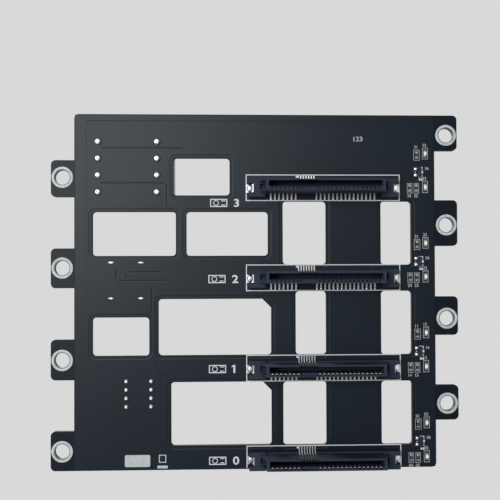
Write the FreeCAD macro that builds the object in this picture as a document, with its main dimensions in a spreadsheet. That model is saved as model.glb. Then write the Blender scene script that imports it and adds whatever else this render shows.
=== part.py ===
# Drive backplane board: four drives plug straight into its front, cables plug in behind.
# The origin is the centre of the board's rear face. Seen from the drive side, +X is to the right
# and +Z is up. Drives come from -Y and cables from +Y. All lengths are in millimetres.
import FreeCAD, Part
import math
import os
import re
import Sketcher

doc = FreeCAD.newDocument("drive_backplane")

# Driving dimensions
SIZES = {
    # Board
    "board_thickness": 1.6,
    "body_width": 109.7,
    "board_height": 107.6,
    "tab_reach": 7.0,
    "outline_corner": 1.4,
    "window_corner": 1.1,
    "window_bevel": 2.7,
    # Screw holes, set in from the ends of their tabs
    "screw_hole": 4.5,
    "screw_inset": 3.4,
    # Drive bays: the slot's centre line above the board's bottom edge, and across from its left
    "bay_count": 4,
    "lowest_bay": 3.3,
    "bay_pitch": 27.43,
    "socket_across": 75.35,
    # Board kept whole above and below each slot
    "room_above": 3.6,
    "room_below": 4.4,
    # Windows beside the sockets
    "outer_window_left": 93.0,
    "outer_window_width": 9.45,
    "inner_window_right": 76.2,
    "inner_window_wide": 13.2,
    "inner_window_narrow": 9.35,
    "inner_window_lift": 0.15,
    # Socket housing
    "socket_length": 45.6,
    "socket_height": 8.65,
    "slot_length": 33.7,
    "slot_width": 1.8,
    "slot_depth": 6.4,
    "end_wall": 0.85,
    "upper_wall": 0.6,
    "lower_wall": 1.15,
    "ledge_reach": 0.45,
    "ledge_height": 1.6,
    "tail_gap": 0.45,
    "block_above": 2.15,
    "block_below": 3.3,
    "block_height": 2.8,
    "gusset_run": 1.8,
    "gusset_height": 7.4,
    "gusset_width": 0.55,
    "block_core": 1.5,
    "block_core_depth": 1.3,
    "notch_length": 1.55,
    "notch_width": 2.8,
    "key_length": 5.0,
    "key_depth": 1.0,
    "key_lip": 0.3,
    # Socket contacts
    "contact_pitch": 1.27,
    "contact_gap": 6.35,
    "contact_shift": 0.1,
    "signal_count": 7,
    "power_count": 15,
    "contact_width": 0.45,
    "contact_thickness": 0.2,
    "cavity_side_gap": 0.12,
    "cavity_depth": 0.7,
    "foot_reach": 3.8,
    "lean_height": 4.6,
    "bump_height": 7.2,
    "bump_reach": 0.2,
    "tip_height": 8.1,
    "tip_tuck": 0.2,
    "second_pitch": 0.8,
    "second_count": 7,
    "second_width": 0.36,
    "second_side_gap": 0.05,
    "second_foot_reach": 3.4,
    "second_lean_height": 5.4,
    # Soldered hold-down tabs
    "tab_thickness": 0.25,
    "tab_width": 2.4,
    "tab_foot": 0.55,
    "tab_rise": 2.2,
    # Height of a solder joint's upright rim
    "solder_rim": 0.15,
    # Power headers
    "power_left_across": 7.05,
    "power_right_across": 24.8,
    "power_height": 91.6,
    "power_pitch": 5.08,
    "power_pins": 4,
    "power_shell_length": 22.4,
    "power_shell_inner": 4.4,
    "power_shell_outer": 6.2,
    "power_shell_height": 12.0,
    "power_shell_wall": 0.95,
    "power_shell_floor": 2.5,
    "power_shell_bevel": 2.6,
    "power_pin": 2.1,
    "power_pin_height": 10.6,
    "power_pin_tip": 0.6,
    "power_pin_end": 1.1,
    "power_tail": 1.3,
    "power_hole": 1.6,
    "power_solder_base": 2.3,
    "power_solder_top": 1.0,
    "power_solder_height": 1.1,
    # Data port
    "port_across": 15.5,
    "port_height": 57.2,
    "port_leg_across": 8.94,
    "port_leg_up": 10.8,
    "cage_width": 9.9,
    "cage_sheet": 0.3,
    "cage_height": 19.0,
    "cage_leg_width": 1.3,
    "cage_leg_proud": 0.5,
    "cage_leg_slot_gap": 0.15,
    "latch_width": 2.2,
    "latch_height": 1.6,
    "latch_drop": 3.2,
    "latch_spacing": 6.0,
    "wafer_height": 12.5,
    "wafer_lift": 0.3,
    "card_slot_length": 8.2,
    "card_slot_width": 1.2,
    "card_slot_depth": 6.5,
    "card_slot_spacing": 3.9,
    "port_contact_pitch": 0.75,
    "port_contact_count": 9,
    "port_contact_width": 0.3,
    "port_contact_thickness": 0.15,
    "port_contact_drop": 0.6,
    "port_solder_length": 2.0,
    "port_solder_width": 0.95,
    "port_solder_height": 0.6,
    # Fan headers
    "fan_left_across": 15.6,
    "fan_right_across": 23.05,
    "fan_height": 23.0,
    "fan_pitch": 2.54,
    "fan_pins": 4,
    "fan_base_length": 10.16,
    "fan_base_width": 5.8,
    "fan_base_height": 3.2,
    "fan_ramp_thickness": 1.0,
    "fan_ramp_height": 8.6,
    "fan_ramp_lip": 0.5,
    "fan_pin": 0.64,
    "fan_pin_height": 9.4,
    "fan_pin_proud": 1.1,
    "fan_hole": 1.0,
    "fan_solder_base": 1.7,
    "fan_solder_top": 1.05,
    "fan_solder_height": 0.6,
    # Chip parts beside each socket: distance from the body's right edge, and height above the slot
    "chip_length": 1.6,
    "chip_width": 0.8,
    "chip_height": 0.45,
    "chip_end": 0.3,
    "upper_chip_inset": 5.5,
    "upper_chip_up": 9.75,
    "inner_chip_inset": 7.7,
    "middle_chip_inset": 5.6,
    "lower_chip_down": 0.4,
    "light_inset": 2.9,
    "light_height": 0.5,
    "light_end_height": 0.25,
    "upper_light_up": 10.2,
    "lower_light_down": 0.1,
    "transistor_inset": 4.9,
    "transistor_up": 4.55,
    "transistor_length": 2.9,
    "transistor_width": 1.3,
    "transistor_height": 1.0,
    "transistor_gap": 0.1,
    "leg_spread": 1.9,
    "leg_width": 0.4,
    "leg_thickness": 0.14,
    "leg_run": 0.25,
    "leg_foot": 0.35,
    "leg_rise": 0.5,
}

# Screw tabs, numbered upwards: the screw's height above the board's bottom edge, and how far the
# tab reaches below and above it. The lowest left tab starts at the bottom edge, and the highest
# right one ends at the top edge, so each of those has one reach less.
SIZES.update({
    "left_tab_1_screw": 5.8, "left_tab_1_above": 6.0,
    "left_tab_2_screw": 33.2, "left_tab_2_below": 6.0, "left_tab_2_above": 6.2,
    "left_tab_3_screw": 61.0, "left_tab_3_below": 6.1, "left_tab_3_above": 5.9,
    "left_tab_4_screw": 88.4, "left_tab_4_below": 5.9, "left_tab_4_above": 5.2,
    "right_tab_1_screw": 19.3, "right_tab_1_below": 5.0, "right_tab_1_above": 5.6,
    "right_tab_2_screw": 45.3, "right_tab_2_below": 5.1, "right_tab_2_above": 6.7,
    "right_tab_3_screw": 73.9, "right_tab_3_below": 6.4, "right_tab_3_above": 7.6,
    "right_tab_4_drop": 6.1, "right_tab_4_below": 4.7,
})

# Free windows: left and right edges across from the body's left edge, bottom and top edges above
# the board's bottom edge.
FREE_WINDOWS = {
    "top": (29.8, 46.85, 82.95, 94.35),
    "upper_left": (5.35, 30.55, 64.6, 78.0),
    "upper_middle": (33.7, 58.45, 64.6, 78.0),
    "centre": (25.2, 59.4, 34.45, 51.5),
    "middle_left": (5.35, 22.5, 34.4, 46.0),
    "low": (29.0, 59.45, 7.2, 26.4),
}
for window, edges in FREE_WINDOWS.items():
    for side, place in zip(("left", "right", "bottom", "top"), edges):
        SIZES[f"{window}_{side}"] = place

BEVELLED_WINDOWS = ("centre", "low")
TABS = (1, 2, 3, 4)
BAYS = range(SIZES["bay_count"])
# Pins, solder joints and their holes are small and many, so their circles are drawn many-sided
ROUND_SIDES = 12

sizes = doc.addObject("Spreadsheet::Sheet", "Sizes")
for row, (alias, number) in enumerate(SIZES.items(), start=1):
    sizes.set(f"A{row}", alias)
    sizes.set(f"B{row}", str(number))
    sizes.setAlias(f"B{row}", alias)
doc.recompute()


def bound(formula):
    """A formula in the sheet's words, as an expression of the document."""
    return re.sub(r"[a-z][a-z_0-9]*", lambda word: "Sizes." + word[0], formula)


def value(formula):
    """What a formula comes to at the sheet's present sizes."""
    return float(sizes.evalExpression(bound(formula)))


# Places on the board
def across(distance):
    """X of a place measured from the body's left edge."""
    return f"{distance}-body_width/2"


def inset(distance):
    """X of a place measured inwards from the body's right edge."""
    return f"body_width/2-{distance}"


def up(distance):
    """Z of a place measured from the board's bottom edge."""
    return f"{distance}-board_height/2"


def slot_up(bay):
    """Height of a bay's slot above the board's bottom edge."""
    return f"lowest_bay+{bay}*bay_pitch"


def screw_up(side, tab):
    """Height of a tab's screw above the board's bottom edge."""
    if (side, tab) == ("right", 4):
        return "board_height-right_tab_4_drop"
    return f"{side}_tab_{tab}_screw"


def tab_ends(side, tab):
    """Heights of a tab's lower and upper ends above the board's bottom edge."""
    screw = screw_up(side, tab)
    low = "0" if (side, tab) == ("left", 1) else f"{screw}-{side}_tab_{tab}_below"
    high = "board_height" if (side, tab) == ("right", 4) else f"{screw}+{side}_tab_{tab}_above"
    return low, high


def window_edges():
    """Left, right, bottom and top of every window, from the body's left and bottom edges."""
    edges = {
        name: tuple(f"{name}_{side}" for side in ("left", "right", "bottom", "top"))
        for name in FREE_WINDOWS
    }
    for bay in BAYS[:-1]:
        low = f"{slot_up(bay)}+room_above"
        high = f"{slot_up(bay + 1)}-room_below"
        width = "inner_window_narrow" if bay == 1 else "inner_window_wide"
        edges[f"inner_{bay}"] = (
            f"inner_window_right-{width}", "inner_window_right", f"{low}+inner_window_lift", high,
        )
        edges[f"outer_{bay}"] = (
            "outer_window_left", "outer_window_left+outer_window_width", low, high,
        )
    return edges


def screw_places():
    """X and Z of the eight screws."""
    left, right = "screw_inset-tab_reach-body_width/2", "body_width/2+tab_reach-screw_inset"
    return [(left, up(screw_up("left", tab))) for tab in TABS] + [
        (right, up(screw_up("right", tab))) for tab in TABS
    ]


# Sketches and features
def new_body(name):
    body = doc.addObject("PartDesign::Body", name)
    body.Label = name
    return body


def place(body, x, y, z, faces_rear=False):
    """Puts a body on the board. One that faces the rear is turned half round the Z axis."""
    if faces_rear:
        body.Placement = FreeCAD.Placement(
            FreeCAD.Vector(), FreeCAD.Rotation(FreeCAD.Vector(0, 0, 1), 180)
        )
    for axis, formula in (("x", x), ("y", y), ("z", z)):
        body.setExpression(f"Placement.Base.{axis}", bound(formula))


def new_sketch(body, name, plane="XZ_Plane", offset=None):
    """A sketch on one of the body's own planes, moved along that plane's normal."""
    sketch = body.newObject("Sketcher::SketchObject", name)
    support = next(face for face in body.Origin.OriginFeatures if face.Role == plane)
    sketch.AttachmentSupport = [(support, "")]
    sketch.MapMode = "FlatFace"
    if offset:
        sketch.setExpression("AttachmentOffset.Base.z", bound(offset))
    return sketch


def pin_point(sketch, geometry, point, x=None, y=None):
    """Ties a point of the sketch to formulas for its two coordinates."""
    for kind, formula in (("DistanceX", x), ("DistanceY", y)):
        if formula is None:
            continue
        datum = Sketcher.Constraint(kind, -1, 1, geometry, point, value(formula))
        number = sketch.addConstraint(datum)
        sketch.setExpression(f"Constraints[{number}]", bound(formula))


def draw_chain(sketch, corners):
    """Adds a closed chain of lines through the corners and gives the first line's number."""
    first = sketch.GeometryCount
    points = [FreeCAD.Vector(value(x), value(y), 0) for x, y in corners]
    ends = points[1:] + points[:1]
    sketch.addGeometry([Part.LineSegment(a, b) for a, b in zip(points, ends)])
    count = len(points)
    sketch.addConstraint([
        Sketcher.Constraint("Coincident", first + i, 2, first + (i + 1) % count, 1)
        for i in range(count)
    ])
    return first


def draw_polygon(sketch, corners):
    first = draw_chain(sketch, corners)
    for i, (x, y) in enumerate(corners):
        pin_point(sketch, first + i, 1, x, y)


def draw_rectangle(sketch, left, right, bottom, top):
    first = draw_chain(sketch, [(left, bottom), (right, bottom), (right, top), (left, top)])
    sketch.addConstraint([
        Sketcher.Constraint("Horizontal", first),
        Sketcher.Constraint("Vertical", first + 1),
        Sketcher.Constraint("Horizontal", first + 2),
        Sketcher.Constraint("Vertical", first + 3),
    ])
    pin_point(sketch, first, 1, left, bottom)
    pin_point(sketch, first + 2, 1, right, top)


def draw_centred(sketch, x, y, width, height):
    """A rectangle round its centre."""
    draw_rectangle(
        sketch, f"{x}-({width})/2", f"{x}+({width})/2", f"{y}-({height})/2", f"{y}+({height})/2"
    )


def draw_circle(sketch, x, y, diameter):
    centre = FreeCAD.Vector(value(x), value(y), 0)
    normal = FreeCAD.Vector(0, 0, 1)
    radius = value(diameter) / 2
    circle = sketch.addGeometry(Part.Circle(centre, normal, radius))
    pin_point(sketch, circle, 3, x, y)
    number = sketch.addConstraint(Sketcher.Constraint("Radius", circle, radius))
    sketch.setExpression(f"Constraints[{number}]", bound(f"({diameter})/2"))


def draw_round(sketch, x, y, diameter):
    """A regular many-sided outline whose corners lie on the given circle."""
    middle, radius = FreeCAD.Vector(value(x), value(y), 0), value(diameter) / 2
    circle = sketch.addGeometry(Part.Circle(middle, FreeCAD.Vector(0, 0, 1), radius), True)
    pin_point(sketch, circle, 3, x, y)
    number = sketch.addConstraint(Sketcher.Constraint("Radius", circle, radius))
    sketch.setExpression(f"Constraints[{number}]", bound(f"({diameter})/2"))
    turns = [2 * math.pi * i / ROUND_SIDES for i in range(ROUND_SIDES)]
    corners = [
        middle + FreeCAD.Vector(radius * math.cos(turn), radius * math.sin(turn)) for turn in turns
    ]
    first = sketch.GeometryCount
    sketch.addGeometry([
        Part.LineSegment(a, b) for a, b in zip(corners, corners[1:] + corners[:1])
    ])
    sides = range(first, first + ROUND_SIDES)
    joined = zip(sides, [*sides[1:], first])
    sketch.addConstraint(
        [Sketcher.Constraint("Coincident", a, 2, b, 1) for a, b in joined]
        + [Sketcher.Constraint("PointOnObject", side, 1, circle) for side in sides]
        + [Sketcher.Constraint("Equal", first, side) for side in sides[1:]]
    )
    pin_point(sketch, first, 1, y=y)


def pad(body, sketch, name, length):
    """Raises a sketch along its normal."""
    feature = body.newObject("PartDesign::Pad", name)
    feature.Profile = sketch
    feature.setExpression("Length", bound(length))
    return feature


def bevel_top(body, feature, name, inwards, down):
    """Cuts back all the edges of the face that looks outwards, along -Y."""
    doc.recompute()
    low = feature.Shape.BoundBox.YMin
    top = next(
        f"Face{number}" for number, face in enumerate(feature.Shape.Faces, start=1)
        if face.BoundBox.YMax < low + 1e-6
    )
    bevelled = body.newObject("PartDesign::Chamfer", name)
    bevelled.Base = (feature, [top])
    bevelled.ChamferType = "Two distances"
    bevelled.setExpression("Size", bound(down))
    bevelled.setExpression("Size2", bound(inwards))
    return bevelled


def pocket(body, sketch, name, length, reverse=False):
    """Cuts against the sketch's normal, or along it when reversed."""
    feature = body.newObject("PartDesign::Pocket", name)
    feature.Profile = sketch
    feature.Reversed = reverse
    feature.setExpression("Length", bound(length))
    return feature


def row_of(body, originals, name, sketch, axis, pitch, count):
    """Repeats features in a row along one of the sketch's axes."""
    row = body.newObject("PartDesign::LinearPattern", name)
    row.Originals = originals
    row.Direction = (sketch, [axis])
    row.setExpression("Length", bound(f"{pitch}*({count}-1)"))
    row.setExpression("Occurrences", bound(count))
    body.Tip = row
    return row


def edges_through(feature, places):
    """Names of the edges that run straight through the board at the given X and Z."""
    names = []
    for number, edge in enumerate(feature.Shape.Edges, start=1):
        a, b = edge.Vertexes[0].Point, edge.Vertexes[-1].Point
        runs_through = abs(a.x - b.x) < 1e-6 and abs(a.z - b.z) < 1e-6
        if runs_through and any(abs(a.x - x) < 1e-4 and abs(a.z - z) < 1e-4 for x, z in places):
            names.append(f"Edge{number}")
    return names


def round_edges(body, feature, name, places, radius):
    doc.recompute()
    rounded = body.newObject("PartDesign::Fillet", name)
    rounded.Base = (feature, edges_through(feature, places))
    rounded.setExpression("Radius", bound(radius))
    return rounded


def bevel_edges(body, feature, name, places, size):
    doc.recompute()
    bevelled = body.newObject("PartDesign::Chamfer", name)
    bevelled.Base = (feature, edges_through(feature, places))
    bevelled.setExpression("Size", bound(size))
    return bevelled


def first_pin(kind):
    """The lowest pin's height about its header's centre."""
    return f"-({kind}_pins-1)/2*{kind}_pitch"


# Board
def outline_corners():
    """The board's outline, from the bottom left corner up the left side and down the right."""
    half, reach = "body_width/2", "(body_width/2+tab_reach)"
    corners = []
    for tab in TABS:
        low, high = (up(end) for end in tab_ends("left", tab))
        corners += [(f"-{half}", low)] * (tab > 1)
        corners += [(f"-{reach}", low), (f"-{reach}", high), (f"-{half}", high)]
    corners.append((f"-{half}", "board_height/2"))
    for tab in reversed(TABS):
        low, high = (up(end) for end in tab_ends("right", tab))
        corners += [(half, high)] * (tab < 4)
        corners += [(reach, high), (reach, low), (half, low)]
    corners.append((half, "-board_height/2"))
    return corners


def rounded_outline_places():
    """The outline's outward corners: two on each tab, and the body's two free corners."""
    reach, half = value("body_width/2+tab_reach"), value("body_width/2")
    top = value("board_height/2")
    places = [(-half, top), (half, -top)]
    for side, x in (("left", -reach), ("right", reach)):
        places += [(x, value(up(end))) for tab in TABS for end in tab_ends(side, tab)]
    return places


def window_corner_places(bevelled):
    """Corners of the windows: the bevelled ones, or all the others."""
    found = []
    for name, (left, right, bottom, top) in window_edges().items():
        for x in (left, right):
            for z in (bottom, top):
                is_bevel = name in BEVELLED_WINDOWS and (x, z) == (right, top)
                if is_bevel == bevelled:
                    found.append((value(across(x)), value(up(z))))
    return found


def make_board():
    body = new_body("board")
    outline = new_sketch(body, "board_outline")
    draw_polygon(outline, outline_corners())
    plate = pad(body, outline, "board_plate", "board_thickness")
    rounded = round_edges(
        body, plate, "board_corners", rounded_outline_places(), "outline_corner"
    )
    windows = new_sketch(body, "board_windows")
    for left, right, bottom, top in window_edges().values():
        draw_rectangle(windows, across(left), across(right), up(bottom), up(top))
    cut = pocket(body, windows, "window_cuts", "board_thickness", reverse=True)
    bevels = bevel_edges(body, cut, "window_bevels", window_corner_places(True), "window_bevel")
    round_edges(body, bevels, "window_corners", window_corner_places(False), "window_corner")

    holes = new_sketch(body, "screw_and_leg_holes")
    for x, z in screw_places():
        draw_circle(holes, x, z, "screw_hole")
    for x, z in port_leg_places():
        draw_centred(
            holes, across(f"port_across{x}"), up(f"port_height{z}"),
            "cage_leg_width+2*cage_leg_slot_gap", "cage_sheet+2*cage_leg_slot_gap",
        )
    pocket(body, holes, "hole_cuts", "board_thickness", reverse=True)
    for kind in ("power", "fan"):
        for side in ("left", "right"):
            name = f"{kind}_{side}_hole"
            first = new_sketch(body, name)
            draw_round(
                first, across(f"{kind}_{side}_across"), up(f"{kind}_height{first_pin(kind)}"),
                f"{kind}_hole",
            )
            cut = pocket(body, first, f"{name}_first", "board_thickness", reverse=True)
            row_of(body, [cut], f"{name}s", first, "V_Axis", f"{kind}_pitch", f"{kind}_pins")
    return body


# Drive sockets: each is drawn round its slot's centre on the board's front face
SHROUD_HALF = "(slot_length/2+end_wall)"
SHROUD_TOP = "(slot_width/2+upper_wall)"
SHROUD_BOTTOM = "(slot_width/2+lower_wall)"
FIRST_SIGNAL = "(-(contact_pitch*(signal_count+power_count-2)+contact_gap)/2-contact_shift)"
LAST_SIGNAL = f"({FIRST_SIGNAL}+contact_pitch*(signal_count-1))"
FIRST_POWER = f"({LAST_SIGNAL}+contact_gap)"
KEY_MIDDLE = f"({LAST_SIGNAL}+contact_gap/2)"
FIRST_SECOND = f"({KEY_MIDDLE}-second_pitch*(second_count-1)/2)"
BLOCK_MIDDLE = "((block_above-block_below)/2)"


def place_in_bay(body, bay):
    place(body, across("socket_across"), "-board_thickness", up(slot_up(bay)))


def make_socket_housing(bay):
    name = f"bay_{bay}_socket_housing"
    body = new_body(name)
    place_in_bay(body, bay)

    blocks = new_sketch(body, f"{name}_blocks")
    for left, right in (("-socket_length/2", f"-{SHROUD_HALF}"), (SHROUD_HALF, "socket_length/2")):
        draw_rectangle(blocks, left, right, "-block_below", "block_above")
    pad(body, blocks, f"{name}_end_blocks", "block_height")

    shroud = new_sketch(body, f"{name}_section", offset="tail_gap")
    draw_rectangle(shroud, f"-{SHROUD_HALF}", SHROUD_HALF, f"-{SHROUD_BOTTOM}", SHROUD_TOP)
    pad(body, shroud, f"{name}_shroud", "socket_height-tail_gap")

    ledge = new_sketch(body, f"{name}_step", offset="tail_gap")
    draw_rectangle(ledge, f"-{SHROUD_HALF}", SHROUD_HALF, "0", f"{SHROUD_TOP}+ledge_reach")
    pad(body, ledge, f"{name}_ledge", "ledge_height-tail_gap")

    for side, offset in (("lower", f"-{SHROUD_BOTTOM}"), ("upper", f"{SHROUD_TOP}-gusset_width")):
        ramps = new_sketch(body, f"{name}_{side}_ramps", "XY_Plane", offset)
        for sign in ("-", ""):
            draw_polygon(ramps, [
                (f"{sign}{SHROUD_HALF}", "-block_height"),
                (f"{sign}({SHROUD_HALF}+gusset_run)", "-block_height"),
                (f"{sign}{SHROUD_HALF}", "-gusset_height"),
            ])
        pad(body, ramps, f"{name}_{side}_gussets", "gusset_width")

    slot = new_sketch(body, f"{name}_mouth", offset="socket_height")
    draw_centred(slot, "0", "0", "slot_length", "slot_width")
    pocket(body, slot, f"{name}_slot", "slot_depth")

    key = new_sketch(body, f"{name}_key", offset="socket_height")
    draw_rectangle(
        key, f"{KEY_MIDDLE}-key_length/2", f"{KEY_MIDDLE}+key_length/2",
        f"key_lip-{SHROUD_BOTTOM}", "-slot_width/2",
    )
    pocket(body, key, f"{name}_key_relief", "key_depth")

    cavity_width = "contact_width+2*cavity_side_gap"
    for kind, first, count in (
        ("signal", FIRST_SIGNAL, "signal_count"), ("power", FIRST_POWER, "power_count"),
    ):
        cavity = new_sketch(body, f"{name}_{kind}_cavity", offset="socket_height")
        draw_rectangle(
            cavity, f"{first}-({cavity_width})/2", f"{first}+({cavity_width})/2",
            "-slot_width/2-cavity_depth", "-slot_width/2",
        )
        cut = pocket(body, cavity, f"{name}_{kind}_first", "socket_height-tail_gap")
        row_of(body, [cut], f"{name}_{kind}_cavities", cavity, "H_Axis", "contact_pitch", count)

    comb = new_sketch(body, f"{name}_comb", offset="socket_height")
    draw_rectangle(
        comb, f"{FIRST_SECOND}-second_width/2-second_side_gap",
        f"{FIRST_SECOND}+second_width/2+second_side_gap",
        "slot_width/2", f"{SHROUD_TOP}+ledge_reach",
    )
    cut = pocket(body, comb, f"{name}_comb_first", "socket_height-tail_gap")
    row_of(body, [cut], f"{name}_comb_slots", comb, "H_Axis", "second_pitch", "second_count")

    cores = new_sketch(body, f"{name}_cores", offset="block_height")
    for sign in ("-", ""):
        draw_centred(
            cores, f"{sign}({SHROUD_HALF}+gusset_run/2)", "(upper_wall-lower_wall)/2",
            "block_core", "block_core",
        )
    pocket(body, cores, f"{name}_block_cores", "block_core_depth")

    notches = new_sketch(body, f"{name}_notch", offset="block_height")
    for near, far in (
        ("-socket_length/2", "-socket_length/2+notch_length"),
        ("socket_length/2-notch_length", "socket_length/2"),
    ):
        draw_rectangle(
            notches, near, far, f"{BLOCK_MIDDLE}-notch_width/2", f"{BLOCK_MIDDLE}+notch_width/2"
        )
    pocket(body, notches, f"{name}_notches", "block_height")
    return body


def contact_section(sign, outer, foot_reach, lean_height):
    """A formed contact seen from its end: soldered foot, stem, bump in the slot, tucked tip."""
    inner = f"({outer}-contact_thickness)"
    bump = "(slot_width/2-bump_reach)"
    tip = "(slot_width/2+tip_tuck)"
    section = [
        ("0", foot_reach),
        ("0", inner),
        (lean_height, inner),
        ("bump_height", bump),
        ("tip_height", tip),
        ("tip_height", f"{tip}+contact_thickness"),
        ("bump_height", f"{bump}+contact_thickness"),
        (lean_height, outer),
        ("contact_thickness", outer),
        ("contact_thickness", foot_reach),
    ]
    return [(f"-({height})", f"{sign}({side})") for height, side in section]


def make_contacts(name, bay, section, width, first, pitch, count):
    """A row of like contacts, each stamped from strip of the given width."""
    body = new_body(name)
    place_in_bay(body, bay)
    profile = new_sketch(body, f"{name}_profile", "YZ_Plane", f"{first}-{width}/2")
    draw_polygon(profile, section)
    first_contact = pad(body, profile, f"{name}_first", width)
    row_of(body, [first_contact], f"{name}_row", profile, "N_Axis", pitch, count)
    return body


def make_socket_contacts(bay):
    """The two groups below the slot and the second port's group above it."""
    lower = contact_section("-", "(slot_width/2+cavity_depth)", "foot_reach", "lean_height")
    upper = contact_section("", SHROUD_TOP, "second_foot_reach", "second_lean_height")
    return [
        make_contacts(
            f"bay_{bay}_signal_contacts", bay, lower, "contact_width", FIRST_SIGNAL,
            "contact_pitch", "signal_count",
        ),
        make_contacts(
            f"bay_{bay}_power_contacts", bay, lower, "contact_width", FIRST_POWER,
            "contact_pitch", "power_count",
        ),
        make_contacts(
            f"bay_{bay}_second_port_contacts", bay, upper, "second_width", FIRST_SECOND,
            "second_pitch", "second_count",
        ),
    ]


def make_solder_tabs(bay):
    """The two bent tabs that hold a socket down, seated in the notches of its end blocks."""
    name = f"bay_{bay}_solder_tabs"
    body = new_body(name)
    place_in_bay(body, bay)
    profile = new_sketch(body, f"{name}_profile", "XY_Plane", f"{BLOCK_MIDDLE}-tab_width/2")
    seat, end = "(socket_length/2-notch_length)", "(socket_length/2+tab_foot)"
    for sign in ("-", ""):
        draw_polygon(profile, [
            (f"{sign}{seat}", "0"),
            (f"{sign}{end}", "0"),
            (f"{sign}{end}", "-tab_thickness"),
            (f"{sign}({seat}+tab_thickness)", "-tab_thickness"),
            (f"{sign}({seat}+tab_thickness)", "-tab_rise"),
            (f"{sign}{seat}", "-tab_rise"),
        ])
    pad(body, profile, f"{name}_strip", "tab_width")
    return body


# Power headers, data port and fan headers: each is drawn round its centre on the rear face, and
# in its own frame -Y points away from the board and +X points to the board's left edge
def make_power_header(side):
    name = f"power_header_{side}"
    body = new_body(name)
    place(body, across(f"power_{side}_across"), "0", up("power_height"), faces_rear=True)

    def bevelled_box(sketch, wall):
        """The shell's outline with its two keyed corners, drawn inside by a wall's thickness."""
        near, far = f"(-power_shell_inner+{wall})", f"(power_shell_outer-{wall})"
        top = f"(power_shell_length/2-{wall})"
        draw_polygon(sketch, [
            (near, f"-{top}"), (f"{far}-power_shell_bevel", f"-{top}"),
            (far, f"-{top}+power_shell_bevel"), (far, f"{top}-power_shell_bevel"),
            (f"{far}-power_shell_bevel", top), (near, top),
        ])

    outside = new_sketch(body, f"{name}_outside")
    bevelled_box(outside, "0")
    pad(body, outside, f"{name}_block", "power_shell_height")
    inside = new_sketch(body, f"{name}_inside", offset="power_shell_height")
    bevelled_box(inside, "power_shell_wall")
    pocket(body, inside, f"{name}_cavity", "power_shell_height-power_shell_floor")
    hole = new_sketch(body, f"{name}_hole", offset="power_shell_floor")
    draw_round(hole, "0", first_pin("power"), "power_pin")
    cut = pocket(body, hole, f"{name}_first_hole", "power_shell_floor")
    row_of(body, [cut], f"{name}_holes", hole, "V_Axis", "power_pitch", "power_pins")
    return body


def make_power_pins(side):
    """Round pins with blunted tips, each with a thin tail through the board."""
    name = f"power_pins_{side}"
    body = new_body(name)
    place(body, across(f"power_{side}_across"), "0", up("power_height"), faces_rear=True)
    tail = new_sketch(body, f"{name}_tail_section", offset="-board_thickness")
    draw_round(tail, "0", first_pin("power"), "power_tail")
    thin_end = pad(body, tail, f"{name}_tail", "board_thickness")
    section = new_sketch(body, f"{name}_section")
    draw_round(section, "0", first_pin("power"), "power_pin")
    shank = pad(body, section, f"{name}_shank", "power_pin_height")
    tip = bevel_top(
        body, shank, f"{name}_tip", "(power_pin-power_pin_end)/2", "power_pin_tip"
    )
    row_of(
        body, [thin_end, shank, tip], f"{name}_row", section, "V_Axis", "power_pitch",
        "power_pins",
    )
    return body


def make_power_solder(side):
    """The solder over each clipped tail on the front face."""
    name = f"power_solder_{side}"
    body = new_body(name)
    place(body, across(f"power_{side}_across"), "-board_thickness", up("power_height"))
    base = new_sketch(body, f"{name}_base")
    draw_round(base, "0", first_pin("power"), "power_solder_base")
    drum = pad(body, base, f"{name}_drum", "power_solder_height")
    dome = bevel_top(
        body, drum, f"{name}_dome", "(power_solder_base-power_solder_top)/2",
        "power_solder_height-solder_rim",
    )
    row_of(body, [drum, dome], f"{name}_row", base, "V_Axis", "power_pitch", "power_pins")
    return body


def port_leg_places():
    """The cage's four legs, as signed distances from the port's centre."""
    return [
        (f"{x}port_leg_across/2", f"{z}port_leg_up/2") for x in ("-", "+") for z in ("-", "+")
    ]


def place_port(body):
    place(body, across("port_across"), "0", up("port_height"), faces_rear=True)


def make_port_cage():
    """The folded sheet cage of the data port, with its legs and the plug's two latch windows."""
    body = new_body("data_port_cage")
    place_port(body)
    height = "port_leg_up+cage_sheet"
    walls = new_sketch(body, "cage_walls")
    draw_centred(walls, "0", "0", "cage_width", height)
    draw_centred(walls, "0", "0", "cage_width-2*cage_sheet", f"{height}-2*cage_sheet")
    pad(body, walls, "cage_tube", "cage_height")
    legs = new_sketch(body, "cage_legs", offset="-board_thickness-cage_leg_proud")
    for x, z in port_leg_places():
        draw_centred(legs, f"0{x}", f"0{z}", "cage_leg_width", "cage_sheet")
    pad(body, legs, "cage_leg_strips", "board_thickness+cage_leg_proud+cage_sheet")
    latches = new_sketch(body, "cage_latches", "YZ_Plane", "cage_width/2")
    for sign in ("-", ""):
        draw_centred(
            latches, "latch_drop-cage_height", f"{sign}latch_spacing/2",
            "latch_height", "latch_width",
        )
    pocket(body, latches, "cage_latch_windows", "cage_sheet")
    return body


def make_port_wafer():
    """The moulded block inside the cage, with a slot for each of the plug's two cards."""
    body = new_body("data_port_insulator")
    place_port(body)
    block = new_sketch(body, "wafer_outline", offset="wafer_lift")
    draw_centred(block, "0", "0", "cage_width-2*cage_sheet", "port_leg_up-cage_sheet")
    pad(body, block, "wafer_block", "wafer_height-wafer_lift")
    slots = new_sketch(body, "wafer_slots", offset="wafer_height")
    for sign in ("-", ""):
        draw_centred(
            slots, f"{sign}card_slot_spacing/2", "0", "card_slot_width", "card_slot_length"
        )
    pocket(body, slots, "wafer_card_slots", "card_slot_depth")
    return body


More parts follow.
